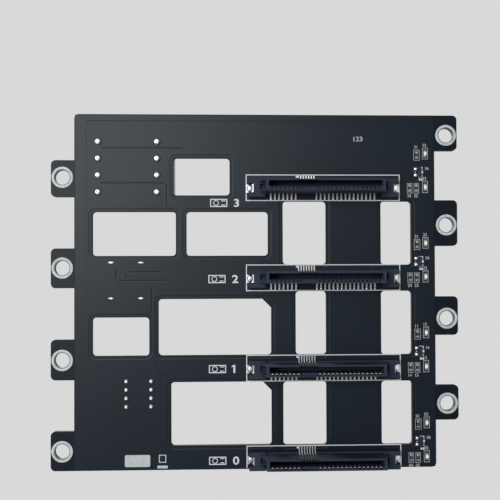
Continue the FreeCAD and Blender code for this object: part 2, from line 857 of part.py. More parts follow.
def make_port_contacts():
    """Rows of contact strips on both walls of each card slot."""
    body = new_body("data_port_contacts")
    place_port(body)
    strips = new_sketch(body, "port_strips", offset="wafer_height-card_slot_depth")
    z = "(-port_contact_pitch*(port_contact_count-1)/2)"
    for slot in ("-card_slot_spacing/2", "card_slot_spacing/2"):
        for wall in ("-1", "1"):
            middle = f"{slot}+{wall}*(card_slot_width-port_contact_thickness)/2"
            draw_centred(strips, middle, z, "port_contact_thickness", "port_contact_width")
    first = pad(body, strips, "port_first_strips", "card_slot_depth-port_contact_drop")
    row_of(
        body, [first], "port_strip_rows", strips, "V_Axis", "port_contact_pitch",
        "port_contact_count",
    )
    return body


def make_port_solder():
    """The long solder joints of the cage's legs on the front face, open round each leg's end."""
    body = new_body("data_port_solder")
    place(body, across("port_across"), "-board_thickness", up("port_height"))
    joints = new_sketch(body, "port_joints")
    for x, z in port_leg_places():
        draw_centred(joints, f"0{x}", f"0{z}", "port_solder_length", "port_solder_width")
        draw_centred(joints, f"0{x}", f"0{z}", "cage_leg_width", "cage_sheet")
    pad(body, joints, "port_joint_mounds", "port_solder_height")
    return body


def make_fan_header(side):
    """A fan header: a low base and a springy lock wall with a lip along one side."""
    name = f"fan_header_{side}"
    body = new_body(name)
    place(body, across(f"fan_{side}_across"), "0", up("fan_height"), faces_rear=True)
    profile = new_sketch(body, f"{name}_profile", "XY_Plane", "-fan_base_length/2")
    far = "fan_base_width/2"
    draw_polygon(profile, [
        (f"-{far}", "0"),
        (far, "0"),
        (far, "-fan_ramp_height"),
        (f"{far}-fan_ramp_thickness/2", "-fan_ramp_height"),
        (f"{far}-fan_ramp_thickness-fan_ramp_lip", "-fan_ramp_height+2*fan_ramp_lip"),
        (f"{far}-fan_ramp_thickness", "-fan_ramp_height+3*fan_ramp_lip"),
        (f"{far}-fan_ramp_thickness", "-fan_base_height"),
        (f"-{far}", "-fan_base_height"),
    ])
    pad(body, profile, f"{name}_moulding", "fan_base_length")
    hole = new_sketch(body, f"{name}_hole", offset="fan_base_height")
    draw_centred(hole, "0", first_pin("fan"), "fan_pin", "fan_pin")
    cut = pocket(body, hole, f"{name}_first_hole", "fan_base_height")
    row_of(body, [cut], f"{name}_holes", hole, "V_Axis", "fan_pitch", "fan_pins")
    return body


def make_fan_pins(side):
    """Square pins that stand proud of the board's front face."""
    name = f"fan_pins_{side}"
    body = new_body(name)
    place(body, across(f"fan_{side}_across"), "0", up("fan_height"), faces_rear=True)
    section = new_sketch(body, f"{name}_section", offset="-board_thickness-fan_pin_proud")
    draw_centred(section, "0", first_pin("fan"), "fan_pin", "fan_pin")
    pin = pad(body, section, f"{name}_first", "board_thickness+fan_pin_proud+fan_pin_height")
    row_of(body, [pin], f"{name}_row", section, "V_Axis", "fan_pitch", "fan_pins")
    return body


def make_fan_solder(side):
    """A cone of solder round each pin on the front face."""
    name = f"fan_solder_{side}"
    body = new_body(name)
    place(body, across(f"fan_{side}_across"), "-board_thickness", up("fan_height"))
    base = new_sketch(body, f"{name}_base")
    draw_round(base, "0", first_pin("fan"), "fan_solder_base")
    drum = pad(body, base, f"{name}_drum", "fan_solder_height")
    cone = bevel_top(
        body, drum, f"{name}_cone", "(fan_solder_base-fan_solder_top)/2",
        "fan_solder_height-solder_rim",
    )
    hole = new_sketch(body, f"{name}_hole", offset="fan_solder_height")
    draw_centred(hole, "0", first_pin("fan"), "fan_pin", "fan_pin")
    cut = pocket(body, hole, f"{name}_pin_hole", "fan_solder_height")
    row_of(body, [drum, cone, cut], f"{name}_row", base, "V_Axis", "fan_pitch", "fan_pins")
    return body


# Chip parts: each kind is drawn for the lowest bay and repeated up the bays
RESISTORS = (
    ("upper_chip_inset", "upper_chip_up"),
    ("inner_chip_inset", "-lower_chip_down"),
    ("middle_chip_inset", "-lower_chip_down"),
)
LIGHTS = (("light_inset", "upper_light_up"), ("light_inset", "-lower_light_down"))


def repeat_in_bays(name, draw, height, lift="0"):
    """A node drawn by a function for the lowest bay and repeated at the bay pitch."""
    body = new_body(name)
    place(body, "0", "-board_thickness", up("lowest_bay"))
    sketch = new_sketch(body, f"{name}_plan", offset=lift)
    draw(sketch)
    first = pad(body, sketch, f"{name}_lowest", height)
    row_of(body, [first], f"{name}_bays", sketch, "V_Axis", "bay_pitch", "bay_count")
    return body


def draw_chip_middles(places):
    def draw(sketch):
        for x, z in places:
            draw_centred(sketch, inset(x), z, "chip_width", "chip_length-2*chip_end")
    return draw


def draw_chip_ends(places):
    def draw(sketch):
        for x, z in places:
            for sign in ("-", "+"):
                end = f"{z}{sign}(chip_length-chip_end)/2"
                draw_centred(sketch, inset(x), end, "chip_width", "chip_end")
    return draw


def draw_transistors(sketch):
    draw_centred(
        sketch, inset("transistor_inset"), "transistor_up", "transistor_width",
        "transistor_length",
    )


def make_transistor_legs():
    """Three bent legs on each transistor: two to the left and one to the right."""
    body = new_body("transistor_legs")
    place(body, inset("transistor_inset"), "-board_thickness", up("lowest_bay"))
    half = "transistor_width/2"
    legs, sketches = [], []
    for tag, sign, z in (
        ("low", "-", "transistor_up-leg_spread/2"),
        ("high", "-", "transistor_up+leg_spread/2"),
        ("lone", "", "transistor_up"),
    ):
        sketch = new_sketch(body, f"leg_{tag}_profile", "XY_Plane", f"{z}-leg_width/2")
        knee = f"({half}+leg_run)"
        draw_polygon(sketch, [
            (f"{sign}{half}", "-leg_rise"),
            (f"{sign}{knee}", "-leg_rise"),
            (f"{sign}{knee}", "-leg_thickness"),
            (f"{sign}({knee}+leg_foot)", "-leg_thickness"),
            (f"{sign}({knee}+leg_foot)", "0"),
            (f"{sign}({knee}-leg_thickness)", "0"),
            (f"{sign}({knee}-leg_thickness)", "leg_thickness-leg_rise"),
            (f"{sign}{half}", "leg_thickness-leg_rise"),
        ])
        legs.append(pad(body, sketch, f"leg_{tag}", "leg_width"))
        sketches.append(sketch)
    row_of(body, legs, "leg_bays", sketches[0], "N_Axis", "bay_pitch", "bay_count")
    return body


def make_chip_parts():
    return [
        repeat_in_bays("resistor_bodies", draw_chip_middles(RESISTORS), "chip_height"),
        repeat_in_bays("resistor_ends", draw_chip_ends(RESISTORS), "chip_height"),
        repeat_in_bays("status_light_lenses", draw_chip_middles(LIGHTS), "light_height"),
        repeat_in_bays("status_light_ends", draw_chip_ends(LIGHTS), "light_end_height"),
        repeat_in_bays(
            "transistor_bodies", draw_transistors, "transistor_height-transistor_gap",
            "transistor_gap",
        ),
        make_transistor_legs(),
    ]


subparts = [make_board()]
for bay in BAYS:
    subparts.append(make_socket_housing(bay))
    subparts += make_socket_contacts(bay)
    subparts.append(make_solder_tabs(bay))
for side in ("left", "right"):
    subparts += [make_power_header(side), make_power_pins(side), make_power_solder(side)]
    subparts += [make_fan_header(side), make_fan_pins(side), make_fan_solder(side)]
subparts += [make_port_cage(), make_port_wafer(), make_port_contacts(), make_port_solder()]
subparts += make_chip_parts()
doc.recompute()

for item in doc.Objects:
    if "Invalid" in item.State or "Error" in item.State:
        raise RuntimeError(f"{item.Name} did not build: {item.State}")
for body in subparts:
    if body.Shape.isNull() or not body.Shape.isValid() or not body.Shape.Solids:
        raise RuntimeError(f"{body.Label} has no sound solid")

os.makedirs("parts", exist_ok=True)
for body in subparts:
    body.Shape.exportStep(f"parts/{body.Label}.step")
    print(f"{body.Label}: {len(body.Shape.Solids)} solids, {body.Shape.Volume:.2f} mm3")
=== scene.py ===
# %% [markdown]
# A drive backplane board is the upright circuit board behind four drives in a server. The drives
# plug into the sockets on its front, cables plug in behind, and air is drawn through its windows.
# The shapes that carry size were made in CAD and arrive here as the frame, one mesh for each
# piece. This lesson dresses them for a picture: copper under the mask, print, solder, and a finish
# for every material. The frame comes first.

# %% Load the frame
import math

import bmesh
import bpy
from mathutils import Matrix, Vector


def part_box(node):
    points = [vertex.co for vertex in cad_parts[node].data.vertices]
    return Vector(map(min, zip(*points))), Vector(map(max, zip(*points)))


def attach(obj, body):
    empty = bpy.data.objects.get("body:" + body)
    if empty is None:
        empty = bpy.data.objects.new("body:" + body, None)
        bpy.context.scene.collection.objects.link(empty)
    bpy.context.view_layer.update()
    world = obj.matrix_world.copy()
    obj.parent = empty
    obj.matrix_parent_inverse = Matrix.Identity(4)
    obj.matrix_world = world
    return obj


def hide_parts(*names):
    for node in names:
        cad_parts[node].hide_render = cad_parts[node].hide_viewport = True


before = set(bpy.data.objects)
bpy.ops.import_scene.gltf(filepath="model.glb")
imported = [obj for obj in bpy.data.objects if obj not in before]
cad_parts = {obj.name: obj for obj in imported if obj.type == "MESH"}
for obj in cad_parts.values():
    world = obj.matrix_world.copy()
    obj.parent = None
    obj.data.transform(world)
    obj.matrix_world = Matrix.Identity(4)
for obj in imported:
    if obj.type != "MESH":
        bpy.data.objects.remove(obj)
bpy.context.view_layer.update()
print("pieces from CAD:", len(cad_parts))

# %% [markdown]
# A board is drawn in millimetres, while Blender's own unit is the metre. The lengths here are
# written in millimetres and turned into metres at the last moment, so that they can be held
# against a drawing. The board's two faces are the planes that everything sits on: the front one
# looks towards -Y, and the rear one lies at Y = 0. They are measured on the CAD board, not written
# again.

# %% The board's faces
MM = 0.001
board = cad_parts["board"]
board_low, board_high = (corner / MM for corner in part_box("board"))
FRONT = round(board_low.y, 3)
REAR = round(board_high.y, 3)
print("front face at", FRONT, "mm, rear face at", REAR, "mm")

# %% [markdown]
# A camera that matches a photograph needs its place, its turn and its lens. They can be set by
# eye, but evenly spaced contacts allow better: these numbers were fitted to the spacing of the
# socket contacts and the screw holes. The board was photographed almost square on from only 22 cm,
# so things that stand proud of it lean away from the middle of the picture.

# %% Camera
def turn(axis, degrees):
    """A turn about one axis, as a matrix."""
    return Matrix.Rotation(math.radians(degrees), 3, axis)


CAMERA_PLACE = Vector((-4.91, FRONT - 221.0, 2.195))
FOCAL_PIXELS = 727.03
PICTURE_PIXELS = 500.0
AXIS_PIXEL = (264.83, 273.03)

turned = turn("Y", -0.2062) @ turn("X", -0.8576) @ turn("Z", 1.9587)
right, ahead, upward = turned.row[0], turned.row[1], turned.row[2]
facing = Matrix((right, upward, -ahead)).transposed()

camera_data = bpy.data.cameras.new("camera")
camera_data.sensor_width = 36.0
camera_data.lens = FOCAL_PIXELS / PICTURE_PIXELS * camera_data.sensor_width
camera_data.shift_x = (PICTURE_PIXELS / 2 - AXIS_PIXEL[0]) / PICTURE_PIXELS
camera_data.shift_y = (AXIS_PIXEL[1] - PICTURE_PIXELS / 2) / PICTURE_PIXELS
camera_data.clip_start = 0.01
camera = bpy.data.objects.new("camera", camera_data)
camera.matrix_world = Matrix.Translation(CAMERA_PLACE * MM) @ facing.to_4x4()
bpy.context.scene.collection.objects.link(camera)
bpy.context.scene.camera = camera
print("lens", round(camera_data.lens, 2), "mm, shift", round(camera_data.shift_x, 4),
      round(camera_data.shift_y, 4))

# %% [markdown]
# Satin black can only look black and smooth where it mirrors something soft. A small lamp would
# leave a hard spot, and light from all round would turn the whole board grey. So one large softbox
# stands in front, up and to the left. Its blurred reflection brightens that corner of the board
# and fades towards the lower right. A second one behind serves the view of the rear.

# %% Softboxes
def softbox(name, place, sides, watts, tilt=0.0):
    """An oblong lamp that faces the middle of the board, turned about its own axis by tilt."""
    data = bpy.data.lights.new(name, "AREA")
    data.shape = "RECTANGLE"
    data.size, data.size_y = sides
    data.energy = watts
    lamp = bpy.data.objects.new(name, data)
    lamp.location = place
    facing_board = Vector(place).to_track_quat("Z", "Y").to_matrix()
    lamp.rotation_euler = (facing_board @ turn("Z", tilt)).to_euler()
    bpy.context.scene.collection.objects.link(lamp)
    return lamp


softbox("key_softbox", (-0.17, -0.42, 0.115), (0.36, 0.18), 2.2, tilt=45)
softbox("rear_softbox", (-0.22, 0.45, 0.28), (0.40, 0.40), 2.6)

# %% [markdown]
# The background is a flat pale grey. A wall behind the board would catch the lamps unevenly, so
# the world itself is the background. Light Path nodes let the camera and mirror-like reflections
# see that grey, while matt surfaces get only a gentle fill from it. The board keeps its depth of
# black, and its metal still has a pale room to reflect.

# %% Background
BACKGROUND_GREY = 0.694
ROOM_FILL = 0.20

world = bpy.data.worlds.new("pale_room")
bpy.context.scene.world = world
world.use_nodes = True
room = world.node_tree
room.nodes.clear()
seen = room.nodes.new("ShaderNodeLightPath")
camera_or_gloss = room.nodes.new("ShaderNodeMath")
camera_or_gloss.operation = "ADD"
any_of_three = room.nodes.new("ShaderNodeMath")
any_of_three.operation = "ADD"
any_of_three.use_clamp = True
level = room.nodes.new("ShaderNodeMix")
level.inputs[2].default_value = ROOM_FILL
level.inputs[3].default_value = BACKGROUND_GREY
sky = room.nodes.new("ShaderNodeBackground")
sky.inputs["Color"].default_value = (1.0, 1.0, 1.0, 1.0)
out = room.nodes.new("ShaderNodeOutputWorld")
room.links.new(seen.outputs["Is Camera Ray"], camera_or_gloss.inputs[0])
room.links.new(seen.outputs["Is Glossy Ray"], camera_or_gloss.inputs[1])
room.links.new(camera_or_gloss.outputs[0], any_of_three.inputs[0])
room.links.new(seen.outputs["Is Transmission Ray"], any_of_three.inputs[1])
room.links.new(any_of_three.outputs[0], level.inputs[0])
room.links.new(level.outputs[0], sky.inputs["Strength"])
room.links.new(sky.outputs[0], out.inputs["Surface"])
bpy.context.scene.view_settings.view_transform = "Standard"
print("background", BACKGROUND_GREY, "fill", ROOM_FILL)

# %% [markdown]
# Every finish is made from nodes that read the object's own coordinates, so that it stays put on
# the piece from any side. A picture could give the grain too, but it has to be wrapped round each
# shape. A coarse noise shifts the colour a little, as real batches and handling do, and a fine one
# gives the surface its tooth and breaks up its gloss. One function holds that recipe, so each
# finish in this lesson is a single call.

# %% A recipe for finishes
def finish(name, colour, roughness, metal=0.0, gloss=0.5, patch=120.0, tooth=6000.0,
           shift=0.12, relief=0.05, spread=0.08):
    """A surface whose colour wanders over patches and whose gloss and relief follow its tooth.

    Patch and tooth are the scales of the two noises. Shift is how far the colour wanders, spread
    how far the roughness does, and relief how deep the tooth looks.
    """
    made = bpy.data.materials.new(name)
    made.use_nodes = True
    tree = made.node_tree
    shader = tree.nodes["Principled BSDF"]
    shader.inputs["Metallic"].default_value = metal
    shader.inputs["Specular IOR Level"].default_value = gloss
    place = tree.nodes.new("ShaderNodeTexCoord")

    patches = tree.nodes.new("ShaderNodeTexNoise")
    patches.inputs["Scale"].default_value = patch
    patches.inputs["Detail"].default_value = 4.0
    tree.links.new(place.outputs["Object"], patches.inputs["Vector"])
    tint = tree.nodes.new("ShaderNodeValToRGB")
    tint.color_ramp.elements[0].position = 0.3
    tint.color_ramp.elements[1].position = 0.7
    tint.color_ramp.elements[0].color = (*[c * (1 - shift) for c in colour], 1.0)
    tint.color_ramp.elements[1].color = (*[min(1.0, c * (1 + shift)) for c in colour], 1.0)
    tree.links.new(patches.outputs["Fac"], tint.inputs["Fac"])
    tree.links.new(tint.outputs["Color"], shader.inputs["Base Color"])

    grain = tree.nodes.new("ShaderNodeTexNoise")
    grain.inputs["Scale"].default_value = tooth
    grain.inputs["Detail"].default_value = 2.0
    tree.links.new(place.outputs["Object"], grain.inputs["Vector"])
    gloss_range = tree.nodes.new("ShaderNodeMapRange")
    gloss_range.inputs["To Min"].default_value = max(0.02, roughness - spread)
    gloss_range.inputs["To Max"].default_value = min(1.0, roughness + spread)
    tree.links.new(grain.outputs["Fac"], gloss_range.inputs["Value"])
    tree.links.new(gloss_range.outputs["Result"], shader.inputs["Roughness"])
    bump = tree.nodes.new("ShaderNodeBump")
    bump.inputs["Strength"].default_value = relief
    bump.inputs["Distance"].default_value = 0.02 * MM
    tree.links.new(grain.outputs["Fac"], bump.inputs["Height"])
    tree.links.new(bump.outputs["Normal"], shader.inputs["Normal"])
    return made


pale_paper = finish("pale_paper", (0.80, 0.80, 0.80), 0.85, gloss=0.1, patch=6.0, tooth=400.0,
                    shift=0.02, relief=0.02)
print("first finish:", pale_paper.name)

# %% [markdown]
# A pale floor below the board keeps its shadow. A single flat face would do, but a round sheet
# with a gentle hollow has no corners to catch the eye. It lies far enough down to stay out of the
# square-on picture, and its finish is as plain as paper.

# %% Floor
FLOOR_DEPTH = -0.25
FLOOR_RADIUS = 0.50
FLOOR_HOLLOW = 0.006
FLOOR_STEPS = 64


def pale_floor():
    """A round sheet under the object, 1.5 mm lower in the middle than at its rim."""
    drawing = bmesh.new()
    rows = [[drawing.verts.new((r * math.cos(a), r * math.sin(a),
                                FLOOR_DEPTH + FLOOR_HOLLOW * r * r))
             for a in (math.tau * n / FLOOR_STEPS for n in range(FLOOR_STEPS))]
            for r in (share * FLOOR_RADIUS for share in (0.08, 0.3, 0.6, 1.0))]
    drawing.faces.new(rows[0])
    for inner, outer in zip(rows, rows[1:]):
        for n in range(FLOOR_STEPS):
            m = (n + 1) % FLOOR_STEPS
            drawing.faces.new((inner[n], outer[n], outer[m], inner[m]))
    mesh = bpy.data.meshes.new("pale_floor")
    drawing.to_mesh(mesh)
    drawing.free()
    mesh.materials.append(pale_paper)
    sheet = bpy.data.objects.new("pale_floor", mesh)
    bpy.context.scene.collection.objects.link(sheet)
    return sheet


floor = pale_floor()
print(floor.name, "at", FLOOR_DEPTH, "m, radius", FLOOR_RADIUS, "m")

# %% [markdown]
# The mask is the dark lacquer on both faces of the board. Nearly all that the eye gets from it is
# gloss, so its own colour is written close to black, and the softbox's blurred reflection gives
# the grey. A brighter colour would look like paint. Copper lying under the mask makes it a shade
# lighter, so there are two masks of one make. A faint tint on the gloss keeps them cold.

# %% Two masks
def mask_finish(name, colour, roughness, gloss):
    """A satin lacquer, close to black, with a cold tint on its gloss."""
    made = finish(name, colour, roughness, gloss=gloss, patch=60.0, tooth=2500.0, relief=0.06,
                  spread=0.04)
    made.node_tree.nodes["Principled BSDF"].inputs["Specular Tint"].default_value = (
        0.93, 1.0, 0.95, 1.0)
    return made


bare_mask = mask_finish("bare_mask", (0.0003, 0.0026, 0.0078), 0.45, 0.15)
copper_mask = mask_finish("copper_mask", (0.0004, 0.0036, 0.0096), 0.43, 0.20)
print("masks:", bare_mask.name, "and", copper_mask.name)

# %% [markdown]
# Each CAD material slot gets its finish. The moulded sockets are a blue-black plastic, the cable
# headers behind are natural nylon, contacts and cage are plated metal. A metal is told by its
# reflection alone, so its colour is what it gives back, and its roughness decides how sharply.

# %% Finishes for the material slots
FINISHES = {
    "circuit_board": bare_mask,
    "socket_plastic": finish("socket_plastic", (0.022, 0.028, 0.047), 0.75, gloss=0.14,
                             tooth=5000.0, relief=0.3),
    "contact_metal": finish("contact_metal", (0.44, 0.45, 0.45), 0.34, metal=1.0, tooth=8000.0),
    "tinned_metal": finish("tinned_metal", (0.56, 0.57, 0.58), 0.40, metal=1.0, tooth=5000.0),
    "solder": finish("solder", (0.56, 0.57, 0.58), 0.28, metal=1.0, tooth=2500.0, relief=0.10),
    "power_header_nylon": finish("power_header_nylon", (0.60, 0.58, 0.51), 0.45, gloss=0.4,
                                 shift=0.05, relief=0.2),
    "fan_header_nylon": finish("fan_header_nylon", (0.66, 0.64, 0.58), 0.45, gloss=0.4,
                               shift=0.05, relief=0.2),
    "cage_steel": finish("cage_steel", (0.62, 0.63, 0.64), 0.30, metal=1.0, tooth=3500.0,
                         relief=0.15),
    "chip_ceramic": finish("chip_ceramic", (0.020, 0.020, 0.022), 0.35, tooth=9000.0),
    "light_lens": finish("light_lens", (0.80, 0.82, 0.76), 0.25, shift=0.04, tooth=5000.0),
    "chip_moulding": finish("chip_moulding", (0.006, 0.009, 0.014), 0.6, gloss=0.3,
                            tooth=9000.0, relief=0.4),
}
print(len(FINISHES), "finishes for slots")

# %% [markdown]
# A piece's name already says what it is made of: all the tabs are tinned, all the housings are
# plastic. A list of 43 names would say it again and miss a new one, so the end of the name is
# matched, and the few nylon headers are what remains.

# %% Each CAD piece gets the finish of its slot
SLOT_OF_ENDING = (
    ("board", "circuit_board"), ("housing", "socket_plastic"), ("insulator", "socket_plastic"),
    ("contacts", "contact_metal"), ("tabs", "tinned_metal"), ("pins_left", "tinned_metal"),
    ("pins_right", "tinned_metal"), ("_ends", "tinned_metal"), ("_legs", "tinned_metal"),
    ("solder", "solder"), ("solder_left", "solder"), ("solder_right", "solder"),
    ("cage", "cage_steel"), ("resistor_bodies", "chip_ceramic"), ("lenses", "light_lens"),
    ("transistor_bodies", "chip_moulding"),
)


def slot_of(node_name):
    """The material slot of a CAD node, from the end of its name."""
    for ending, slot in SLOT_OF_ENDING:
        if node_name.endswith(ending):
            return slot
    return "power_header_nylon" if node_name.startswith("power") else "fan_header_nylon"


for name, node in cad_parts.items():
    node.data.materials.clear()
    node.data.materials.append(FINISHES[slot_of(name)])
print({slot: sum(slot_of(n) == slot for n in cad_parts) for slot in FINISHES})

# %% [markdown]
# Socket contacts are plated two ways: tin at the foot, which has to take solder, and gold where
# the drive's fingers rub. Two materials would meet in a hard line across each contact, so one
# finish blends along Y instead. The feet stay bright, while the parts deep in the slot turn
# warmer. The comb of the second port lies in the moulding's shade, so the same blend takes its
# contacts to near black there, which is painted shade, not a plating.

# %% Gold in the slot, tin at the foot, painted shade in the comb
BAYS = (0, 1, 2, 3)


def plate_with_gold(material, tin_until, gold_from, far_colour):
    """Blends a finish into a second colour between two distances along Y, in millimetres."""
    tree = material.node_tree
    shader = tree.nodes["Principled BSDF"]
    tin = shader.inputs["Base Color"].links[0].from_socket
    place = tree.nodes.new("ShaderNodeTexCoord")
    split = tree.nodes.new("ShaderNodeSeparateXYZ")
    share = tree.nodes.new("ShaderNodeMapRange")
    share.inputs["From Min"].default_value = tin_until * MM
    share.inputs["From Max"].default_value = gold_from * MM
    blend = tree.nodes.new("ShaderNodeMix")
    blend.data_type = "RGBA"
    blend.inputs[7].default_value = (*far_colour, 1.0)
    tree.links.new(place.outputs["Object"], split.inputs[0])
    tree.links.new(split.outputs["Y"], share.inputs["Value"])
    tree.links.new(share.outputs["Result"], blend.inputs[0])
    tree.links.new(tin, blend.inputs[6])
    tree.links.new(blend.outputs[2], shader.inputs["Base Color"])


plate_with_gold(FINISHES["contact_metal"], -2.6, -4.6, (0.70, 0.69, 0.65))
comb_metal_painted_shade = finish("comb_metal_painted_shade", (0.52, 0.53, 0.53), 0.34, metal=1.0, tooth=8000.0)
# The far colour of the comb is near black: painted shade inside the moulding.
plate_with_gold(comb_metal_painted_shade, -3.2, -4.8, (0.05, 0.045, 0.04))
for bay in BAYS:
    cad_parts[f"bay_{bay}_second_port_contacts"].data.materials[0] = comb_metal_painted_shade
print("plated in two metals: the contacts of", len(BAYS), "sockets")

# %% [markdown]
# Contacts are stamped from strip, and the cut across each tip is unplated and duller than the
# rest.
# On the two upper sockets these cut ends lie in shade and show in the photograph as a row of dark
# dots. So on these two sockets only the cut ends get a near-black metal, which is painted shade.
# They could be small dark pieces of their own, but the CAD contacts have those faces already. A
# CAD mesh isn't reshaped, yet its faces may choose between two materials, so the cut ends are
# found by where they look and how far they stand out.

# %% Painted shade on the contact tips of the upper sockets
UPPER_BAYS = (2, 3)
TIP_BEYOND = -5.0
tip_painted_shade = finish("tip_painted_shade", (0.03, 0.03, 0.035), 0.6, metal=1.0, tooth=8000.0)
painted_shade_faces = 0
for bay in UPPER_BAYS:
    for group in ("signal", "power"):
        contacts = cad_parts[f"bay_{bay}_{group}_contacts"].data
        contacts.materials.append(tip_painted_shade)
        for face in contacts.polygons:
            if face.normal.y < -0.7 and face.center.y < TIP_BEYOND * MM:
                face.material_index = 1
                painted_shade_faces += 1
# Counts the tip faces that carry the painted shade.
print(painted_shade_faces, "faces of cut metal")

# %% [markdown]
# The windows, the screw holes and the pin holes will all be needed: for edges, for copper, for the
# rings round the screws. Their places could be copied from the CAD source, but then a change there
# would leave this lesson behind. So they are read from the board's own front face, whose outlines
# are the edges that have the flat face on one side only.

# %% Outlines on the board
def outlines(node, height):
    """The closed outlines, in millimetres, of a plate's flat face at the given height."""
    plate = bmesh.new()
    plate.from_mesh(node.data)
    bmesh.ops.remove_doubles(plate, verts=plate.verts, dist=0.001 * MM)
    flat = {f for f in plate.faces if all(abs(v.co.y / MM - height) < 0.01 for v in f.verts)}
    beside = {}
    for edge in plate.edges:
        if sum(f in flat for f in edge.link_faces) == 1:
            for a, b in (edge.verts, reversed(edge.verts)):
                beside.setdefault(a, []).append(b)
    found = []
    while beside:
        start = next(iter(beside))
        ring, at = [], start
        while at in beside:
            ring.append(Vector((at.co.x / MM, at.co.z / MM)))
            nexts = [v for v in beside.pop(at) if v in beside]
            at = nexts[0] if nexts else None
        found.append(ring)
    plate.free()
    return found


def middle_and_size(ring):
    """The middle of an outline's box, and the box's width and height."""
    xs, zs = [p.x for p in ring], [p.y for p in ring]
    middle = Vector(((min(xs) + max(xs)) / 2, (min(zs) + max(zs)) / 2))
    return middle, Vector((max(xs) - min(xs), max(zs) - min(zs)))


# By size: the screw holes measure 4.5 mm, all windows more, all joint holes less
SMALLEST_SCREW_HOLE, LARGEST_SCREW_HOLE, LARGEST_WINDOW = 4, 5, 50
rings = outlines(board, FRONT)
windows = [r for r in rings
           if LARGEST_SCREW_HOLE < min(middle_and_size(r)[1]) < LARGEST_WINDOW]
screw_holes = [middle_and_size(r)[0] for r in rings
               if SMALLEST_SCREW_HOLE < max(middle_and_size(r)[1]) < LARGEST_SCREW_HOLE]
joint_holes = [middle_and_size(r) for r in rings
               if max(middle_and_size(r)[1]) < SMALLEST_SCREW_HOLE]
print(len(rings), "outlines:", len(windows), "windows,", len(screw_holes), "screw holes,",
      len(joint_holes), "small holes")

# %% [markdown]
# On a real board the mask covers only the two faces. The routed edges show the laminate, and the
# holes are plated right through. Separate liners could stand in the holes, but the CAD plate has
# those walls already. They are sorted by where they look and by how far they are from a hole's
# middle. The plating gets a near-black colour instead of the brightness of tin: painted shade
# inside the holes.

# %% Laminate on the edges, plating in the holes darkened as painted shade
laminate_edge = finish("laminate_edge", (0.030, 0.028, 0.022), 0.75, gloss=0.3, tooth=4000.0,
                       relief=0.5)
# Near-black tin: painted shade on the hole walls.
barrel_tin_painted_shade = finish("barrel_tin_painted_shade", (0.035, 0.04, 0.04), 0.5, metal=1.0, tooth=3000.0)
SCREW_WALL, JOINT_MARGIN = 2.6, 0.1
board.data.materials.append(laminate_edge)
board.data.materials.append(barrel_tin_painted_shade)
plated_walls = 0
for wall in board.data.polygons:
    if abs(wall.normal.y) < 0.5:
        at = Vector((wall.center.x / MM, wall.center.z / MM))
        near_screw = any((at - hole).length < SCREW_WALL for hole in screw_holes)
        near_joint = any((at - hole).length < size.length / 2 + JOINT_MARGIN
                         for hole, size in joint_holes)
        wall.material_index = 2 if near_screw or near_joint else 1
        plated_walls += near_screw or near_joint
print(plated_walls, "walls are plated")

# %% [markdown]
# Small pieces are drawn with bmesh in millimetres and then turned into objects. Blender's own
# cubes and cylinders would need a scale and a turn each, while a drawn mesh stands where it is
# drawn. One function does the rest for all of them: it scales, names, gives the finish, and says
# what the piece rides on.

# %% Turning a drawing into a piece
def make_piece(name, drawing, finish_used, smooth=False):
    """Turns a bmesh drawn in millimetres into a piece that rides with the board."""
    bmesh.ops.scale(drawing, vec=(MM, MM, MM), verts=drawing.verts)
    bmesh.ops.recalc_face_normals(drawing, faces=drawing.faces)
    for face in drawing.faces:
        face.smooth = smooth
    mesh = bpy.data.meshes.new(name)
    drawing.to_mesh(mesh)
    drawing.free()
    mesh.materials.append(finish_used)
    piece = bpy.data.objects.new(name, mesh)
    bpy.context.scene.collection.objects.link(piece)
    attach(piece, "root")
    print(name, len(mesh.polygons), "faces")
    return piece


print("a drawing in millimetres is scaled by", MM)

# %% [markdown]
# Copper lies under the mask as thin sheets with openings. A sheet could be a block with the
# windows cut out of it, but such cuts are slow and leave stray edges. Here the outlines are drawn
# and the space between them is filled in one go. The rims slope, because a slope is what a satin
# surface shows, and for that each outline is also needed a little wider or narrower than it is.

# %% A raised sheet with sloping rims
def widen(ring, distance):
    """An outline moved away from its middle, along the normals at its corners."""
    centre = middle_and_size(ring)[0]
    moved = []
    for n, point in enumerate(ring):
        before, after = ring[n - 1], ring[(n + 1) % len(ring)]
        first, second = (point - before).normalized(), (after - point).normalized()
        normal = Vector((first.y + second.y, -first.x - second.x)).normalized()
        if normal.dot(point - centre) < 0:
            normal = -normal
        share = max(0.5, abs(normal.dot(Vector((first.y, -first.x)))))
        moved.append(point + normal * distance / share)
    return moved


def raise_sheet(drawing, rings, low, high, slope):
    """A raised sheet inside the first outline and outside the others, with sloping rims."""
    rims = []
    for n, ring in enumerate(rings):
        crest = widen(ring, -slope if n == 0 else slope)
        foot = [drawing.verts.new((p.x, low, p.y)) for p in ring]
        top = [drawing.verts.new((p.x, high, p.y)) for p in crest]
        for k in range(len(ring)):
            m = (k + 1) % len(ring)
            rims.append(drawing.edges.new((top[k], top[m])))
            drawing.faces.new((foot[k], foot[m], top[m], top[k]))
    bmesh.ops.triangle_fill(drawing, use_beauty=True, edges=rims)


print("a window of", [round(s, 2) for s in middle_and_size(windows[0])[1]], "mm widens to",
      [round(s, 2) for s in middle_and_size(widen(windows[0], 0.3))[1]], "mm")

# %% [markdown]
# The power plane is the thicker of the two sheets. Fine gaps part it into areas, and they show as
# thin dark lines, straight or slanting. They could be cut out of the finished sheet. Here each is
# an outline of four corners instead, which the fill leaves open as it does the windows.

# %% Gaps in the power plane
def gap_line(x0, z0, x1, z1, width):
    """A thin slanting or straight gap between two points."""
    along = Vector((x1 - x0, z1 - z0)).normalized() * width / 2
    across = Vector((-along.y, along.x))
    a, b = Vector((x0, z0)), Vector((x1, z1))
    return [a - across, b - across, b + across, a + across]


